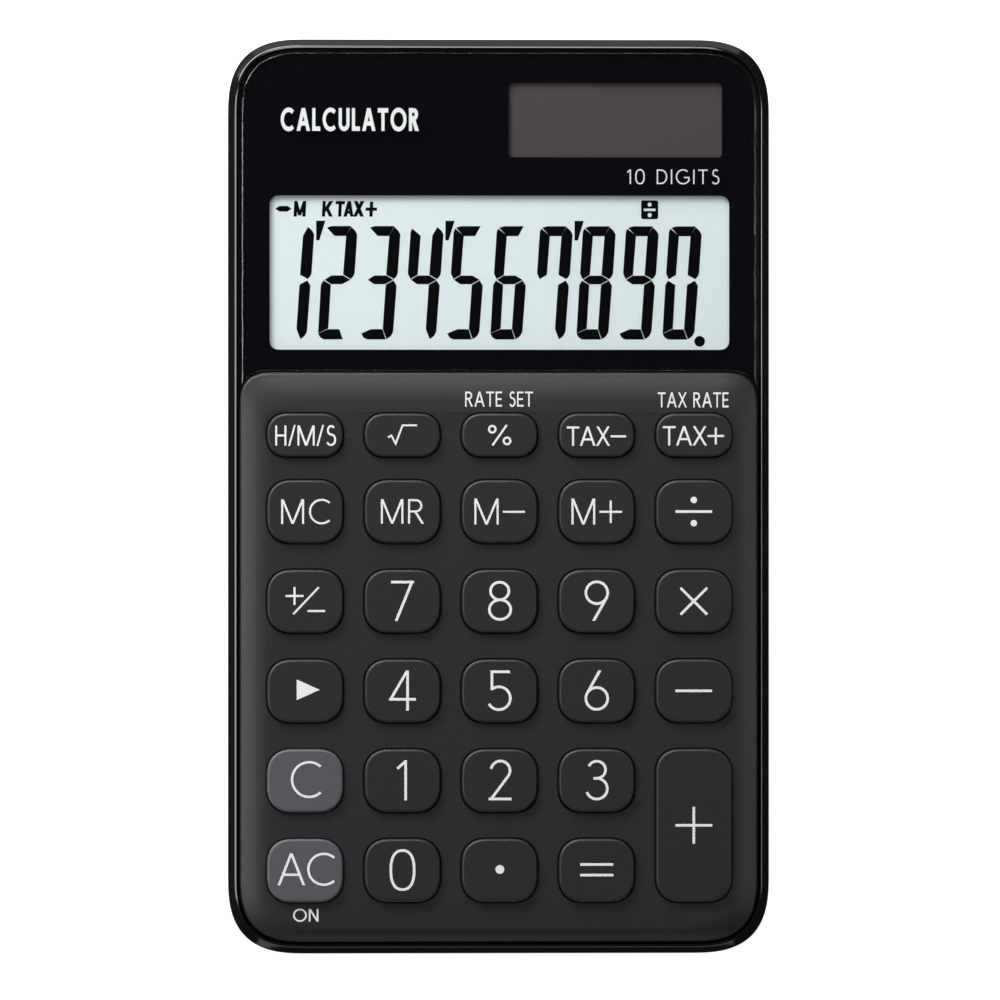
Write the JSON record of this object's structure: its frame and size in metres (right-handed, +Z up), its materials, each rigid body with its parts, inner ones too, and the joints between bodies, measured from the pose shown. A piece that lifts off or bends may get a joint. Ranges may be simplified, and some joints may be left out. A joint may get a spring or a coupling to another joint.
{
  "type": "pocket calculator",
  "caption": "Slim solar pocket calculator: glossy dark case, LCD under a clear panel, and a raised matte keypad of sprung push keys.",
  "frame": {"origin": "under the middle of the flat back face, which rests on the table", "axes": "+X to the right across the keys, +Y along the length towards the display end, +Z up out of the keys"},
  "size_m": [0.07, 0.118, 0.008],
  "materials": {
    "gloss_black": "gloss",
    "key_plate": "satin",
    "key_dark": "satin",
    "key_grey": "satin",
    "clear_acrylic": "gloss",
    "printed_film": "gloss",
    "polarizer": "satin",
    "lcd_glass": "gloss",
    "lcd_reflector": "matte",
    "solar_cell": "satin",
    "rubber": "matte",
    "connector_rubber": "matte",
    "board_green": "satin",
    "epoxy": "gloss",
    "ceramic": "matte",
    "steel": "satin",
    "wire_red": "satin",
    "wire_black": "satin",
    "legend_ink": "matte",
    "lcd_segment": "matte"
  },
  "bodies": {
    "chassis": {"rear_case": "gloss_black", "upper_case": "key_plate", "display_window": "clear_acrylic", "panel_film": "printed_film", "lcd_front_polarizer": "polarizer", "lcd_front_glass": "lcd_glass", "lcd_rear_glass": "lcd_glass", "lcd_reflector": "lcd_reflector", "zebra_strip": "connector_rubber", "solar_cell": "solar_cell", "solar_lead_positive": "wire_red", "solar_lead_negative": "wire_black", "circuit_board": "board_green", "processor_blob": "epoxy", "capacitor": "ceramic", "resistor": "ceramic", "battery_cell": "steel", "battery_positive_clip": "steel", "battery_negative_spring": "steel", "rubber_keypad": "rubber", "case_screw_top_left": "steel", "case_screw_top_right": "steel", "case_screw_middle_left": "steel", "case_screw_middle_right": "steel", "case_screw_bottom_left": "steel", "case_screw_bottom_right": "steel"},
    "key_hms": {"key_hms": "key_dark"},
    "key_sqrt": {"key_sqrt": "key_dark"},
    "key_percent": {"key_percent": "key_dark"},
    "key_tax_minus": {"key_tax_minus": "key_dark"},
    "key_tax_plus": {"key_tax_plus": "key_dark"},
    "key_mc": {"key_mc": "key_dark"},
    "key_mr": {"key_mr": "key_dark"},
    "key_m_minus": {"key_m_minus": "key_dark"},
    "key_m_plus": {"key_m_plus": "key_dark"},
    "key_divide": {"key_divide": "key_dark"},
    "key_sign": {"key_sign": "key_dark"},
    "key_7": {"key_7": "key_dark"},
    "key_8": {"key_8": "key_dark"},
    "key_9": {"key_9": "key_dark"},
    "key_multiply": {"key_multiply": "key_dark"},
    "key_backspace": {"key_backspace": "key_dark"},
    "key_4": {"key_4": "key_dark"},
    "key_5": {"key_5": "key_dark"},
    "key_6": {"key_6": "key_dark"},
    "key_minus": {"key_minus": "key_dark"},
    "key_c": {"key_c": "key_grey"},
    "key_1": {"key_1": "key_dark"},
    "key_2": {"key_2": "key_dark"},
    "key_3": {"key_3": "key_dark"},
    "key_plus": {"key_plus": "key_dark"},
    "key_ac": {"key_ac": "key_grey"},
    "key_0": {"key_0": "key_dark"},
    "key_point": {"key_point": "key_dark"},
    "key_equals": {"key_equals": "key_dark"}
  },
  "joints": [
    {"name": "key_hms_press", "type": "slide", "parent": "chassis", "child": "key_hms", "axis": [0, 0, -1], "range_m": [0, 0.0006], "stiffness_N_per_m": 1000, "springref_m": -0.0003, "deforming": ["rubber_keypad"]},
    {"name": "key_sqrt_press", "type": "slide", "parent": "chassis", "child": "key_sqrt", "axis": [0, 0, -1], "range_m": [0, 0.0006], "stiffness_N_per_m": 1000, "springref_m": -0.0003, "deforming": ["rubber_keypad"]},
    {"name": "key_percent_press", "type": "slide", "parent": "chassis", "child": "key_percent", "axis": [0, 0, -1], "range_m": [0, 0.0006], "stiffness_N_per_m": 1000, "springref_m": -0.0003, "deforming": ["rubber_keypad"]},
    {"name": "key_tax_minus_press", "type": "slide", "parent": "chassis", "child": "key_tax_minus", "axis": [0, 0, -1], "range_m": [0, 0.0006], "stiffness_N_per_m": 1000, "springref_m": -0.0003, "deforming": ["rubber_keypad"]},
    {"name": "key_tax_plus_press", "type": "slide", "parent": "chassis", "child": "key_tax_plus", "axis": [0, 0, -1], "range_m": [0, 0.0006], "stiffness_N_per_m": 1000, "springref_m": -0.0003, "deforming": ["rubber_keypad"]},
    {"name": "key_mc_press", "type": "slide", "parent": "chassis", "child": "key_mc", "axis": [0, 0, -1], "range_m": [0, 0.0006], "stiffness_N_per_m": 1000, "springref_m": -0.0003, "deforming": ["rubber_keypad"]},
    {"name": "key_mr_press", "type": "slide", "parent": "chassis", "child": "key_mr", "axis": [0, 0, -1], "range_m": [0, 0.0006], "stiffness_N_per_m": 1000, "springref_m": -0.0003, "deforming": ["rubber_keypad"]},
    {"name": "key_m_minus_press", "type": "slide", "parent": "chassis", "child": "key_m_minus", "axis": [0, 0, -1], "range_m": [0, 0.0006], "stiffness_N_per_m": 1000, "springref_m": -0.0003, "deforming": ["rubber_keypad"]},
    {"name": "key_m_plus_press", "type": "slide", "parent": "chassis", "child": "key_m_plus", "axis": [0, 0, -1], "range_m": [0, 0.0006], "stiffness_N_per_m": 1000, "springref_m": -0.0003, "deforming": ["rubber_keypad"]},
    {"name": "key_divide_press", "type": "slide", "parent": "chassis", "child": "key_divide", "axis": [0, 0, -1], "range_m": [0, 0.0006], "stiffness_N_per_m": 1000, "springref_m": -0.0003, "deforming": ["rubber_keypad"]},
    {"name": "key_sign_press", "type": "slide", "parent": "chassis", "child": "key_sign", "axis": [0, 0, -1], "range_m": [0, 0.0006], "stiffness_N_per_m": 1000, "springref_m": -0.0003, "deforming": ["rubber_keypad"]},
    {"name": "key_7_press", "type": "slide", "parent": "chassis", "child": "key_7", "axis": [0, 0, -1], "range_m": [0, 0.0006], "stiffness_N_per_m": 1000, "springref_m": -0.0003, "deforming": ["rubber_keypad"]},
    {"name": "key_8_press", "type": "slide", "parent": "chassis", "child": "key_8", "axis": [0, 0, -1], "range_m": [0, 0.0006], "stiffness_N_per_m": 1000, "springref_m": -0.0003, "deforming": ["rubber_keypad"]},
    {"name": "key_9_press", "type": "slide", "parent": "chassis", "child": "key_9", "axis": [0, 0, -1], "range_m": [0, 0.0006], "stiffness_N_per_m": 1000, "springref_m": -0.0003, "deforming": ["rubber_keypad"]},
    {"name": "key_multiply_press", "type": "slide", "parent": "chassis", "child": "key_multiply", "axis": [0, 0, -1], "range_m": [0, 0.0006], "stiffness_N_per_m": 1000, "springref_m": -0.0003, "deforming": ["rubber_keypad"]},
    {"name": "key_backspace_press", "type": "slide", "parent": "chassis", "child": "key_backspace", "axis": [0, 0, -1], "range_m": [0, 0.0006], "stiffness_N_per_m": 1000, "springref_m": -0.0003, "deforming": ["rubber_keypad"]},
    {"name": "key_4_press", "type": "slide", "parent": "chassis", "child": "key_4", "axis": [0, 0, -1], "range_m": [0, 0.0006], "stiffness_N_per_m": 1000, "springref_m": -0.0003, "deforming": ["rubber_keypad"]},
    {"name": "key_5_press", "type": "slide", "parent": "chassis", "child": "key_5", "axis": [0, 0, -1], "range_m": [0, 0.0006], "stiffness_N_per_m": 1000, "springref_m": -0.0003, "deforming": ["rubber_keypad"]},
    {"name": "key_6_press", "type": "slide", "parent": "chassis", "child": "key_6", "axis": [0, 0, -1], "range_m": [0, 0.0006], "stiffness_N_per_m": 1000, "springref_m": -0.0003, "deforming": ["rubber_keypad"]},
    {"name": "key_minus_press", "type": "slide", "parent": "chassis", "child": "key_minus", "axis": [0, 0, -1], "range_m": [0, 0.0006], "stiffness_N_per_m": 1000, "springref_m": -0.0003, "deforming": ["rubber_keypad"]},
    {"name": "key_c_press", "type": "slide", "parent": "chassis", "child": "key_c", "axis": [0, 0, -1], "range_m": [0, 0.0006], "stiffness_N_per_m": 1000, "springref_m": -0.0003, "deforming": ["rubber_keypad"]},
    {"name": "key_1_press", "type": "slide", "parent": "chassis", "child": "key_1", "axis": [0, 0, -1], "range_m": [0, 0.0006], "stiffness_N_per_m": 1000, "springref_m": -0.0003, "deforming": ["rubber_keypad"]},
    {"name": "key_2_press", "type": "slide", "parent": "chassis", "child": "key_2", "axis": [0, 0, -1], "range_m": [0, 0.0006], "stiffness_N_per_m": 1000, "springref_m": -0.0003, "deforming": ["rubber_keypad"]},
    {"name": "key_3_press", "type": "slide", "parent": "chassis", "child": "key_3", "axis": [0, 0, -1], "range_m": [0, 0.0006], "stiffness_N_per_m": 1000, "springref_m": -0.0003, "deforming": ["rubber_keypad"]},
    {"name": "key_plus_press", "type": "slide", "parent": "chassis", "child": "key_plus", "axis": [0, 0, -1], "range_m": [0, 0.0006], "stiffness_N_per_m": 1000, "springref_m": -0.0003, "deforming": ["rubber_keypad"]},
    {"name": "key_ac_press", "type": "slide", "parent": "chassis", "child": "key_ac", "axis": [0, 0, -1], "range_m": [0, 0.0006], "stiffness_N_per_m": 1000, "springref_m": -0.0003, "deforming": ["rubber_keypad"]},
    {"name": "key_0_press", "type": "slide", "parent": "chassis", "child": "key_0", "axis": [0, 0, -1], "range_m": [0, 0.0006], "stiffness_N_per_m": 1000, "springref_m": -0.0003, "deforming": ["rubber_keypad"]},
    {"name": "key_point_press", "type": "slide", "parent": "chassis", "child": "key_point", "axis": [0, 0, -1], "range_m": [0, 0.0006], "stiffness_N_per_m": 1000, "springref_m": -0.0003, "deforming": ["rubber_keypad"]},
    {"name": "key_equals_press", "type": "slide", "parent": "chassis", "child": "key_equals", "axis": [0, 0, -1], "range_m": [0, 0.0006], "stiffness_N_per_m": 1000, "springref_m": -0.0003, "deforming": ["rubber_keypad"]}
  ]
}
